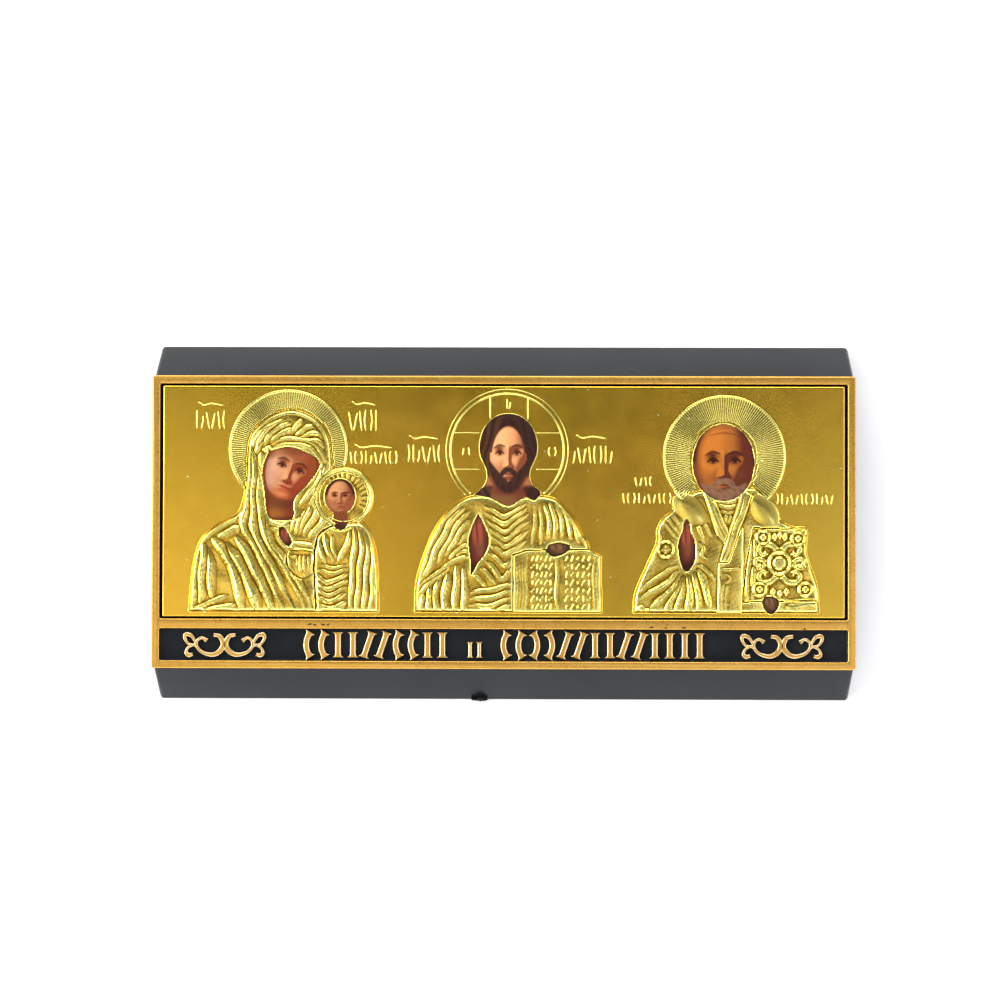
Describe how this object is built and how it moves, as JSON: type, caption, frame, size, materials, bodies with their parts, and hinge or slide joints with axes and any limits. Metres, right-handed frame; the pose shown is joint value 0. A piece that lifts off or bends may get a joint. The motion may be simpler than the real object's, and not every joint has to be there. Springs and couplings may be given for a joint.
{
  "type": "triptych icon",
  "caption": "Small dashboard icon: a black moulded case with flared sides and gold-stamped rim, holding an embossed gold plate with half-length figures in relief.",
  "frame": {"origin": "middle of the flat back face", "axes": "+X along the width, +Y up the face, +Z out of the face; the object lies on its back"},
  "size_m": [0.085, 0.044, 0.0087],
  "materials": {
    "black_plastic": "satin moulded black, with hot-stamped gold foil on the raised front surfaces",
    "gold_sheet": "embossed sheet, satin gold, with printed faces and hands"
  },
  "bodies": {
    "root": {"case": "black_plastic", "icon_plate": "gold_sheet"}
  },
  "joints": []
}
